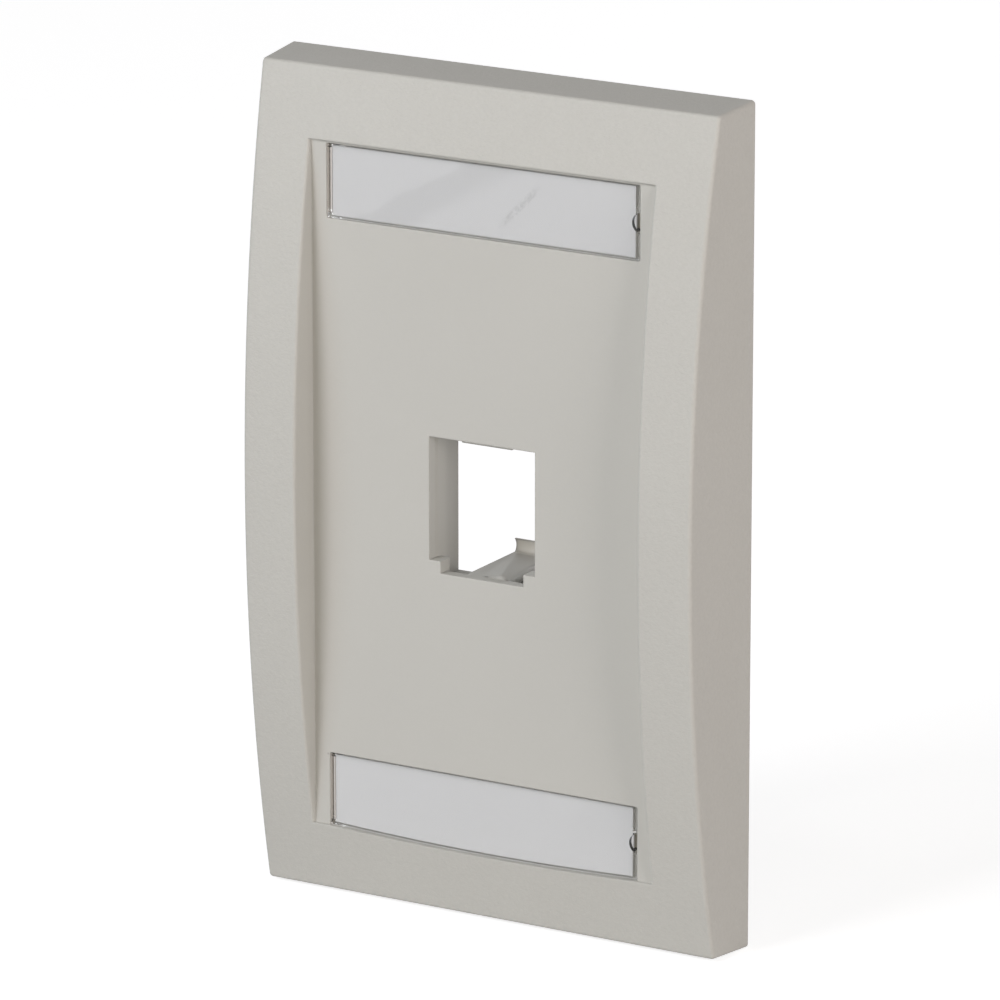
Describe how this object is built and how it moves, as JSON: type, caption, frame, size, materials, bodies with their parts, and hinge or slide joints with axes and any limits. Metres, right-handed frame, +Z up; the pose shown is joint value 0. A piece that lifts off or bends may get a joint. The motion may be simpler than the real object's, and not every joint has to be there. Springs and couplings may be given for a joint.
{
  "type": "keystone faceplate",
  "caption": "Single-gang wall faceplate with an arched frame, a sunken panel with one keystone jack port, and clear label covers that hinge open over the fixing screws.",
  "frame": {"origin": "centre of the back rim's plane, midway between the two fixing screws", "axes": "+Z up along the plate's length, +X to the right as seen from the front, +Y back into the wall (the front faces -Y)"},
  "size_m": [0.0698, 0.0267, 0.1142],
  "materials": {
    "shell_plastic": "fine-grained moulded off-white plastic",
    "label_card": "plain white label card",
    "cover_clear": "clear glossy plastic",
    "screw_steel": "plated steel"
  },
  "bodies": {
    "plate": {"faceplate": "shell_plastic", "upper_screw": "screw_steel", "lower_screw": "screw_steel"},
    "upper_cover": {"upper_label_cover": "cover_clear", "upper_label": "label_card"},
    "lower_cover": {"lower_label_cover": "cover_clear", "lower_label": "label_card"}
  },
  "joints": [
    {"name": "upper_cover_hinge", "type": "hinge", "parent": "plate", "child": "upper_cover", "pos_m": [-0.02348, -0.0096, 0.0416], "axis": [0, 0, -1], "range_deg": [0, 45]},
    {"name": "lower_cover_hinge", "type": "hinge", "parent": "plate", "child": "lower_cover", "pos_m": [-0.02348, -0.0096, -0.04195], "axis": [0, 0, -1], "range_deg": [0, 45]}
  ]
}
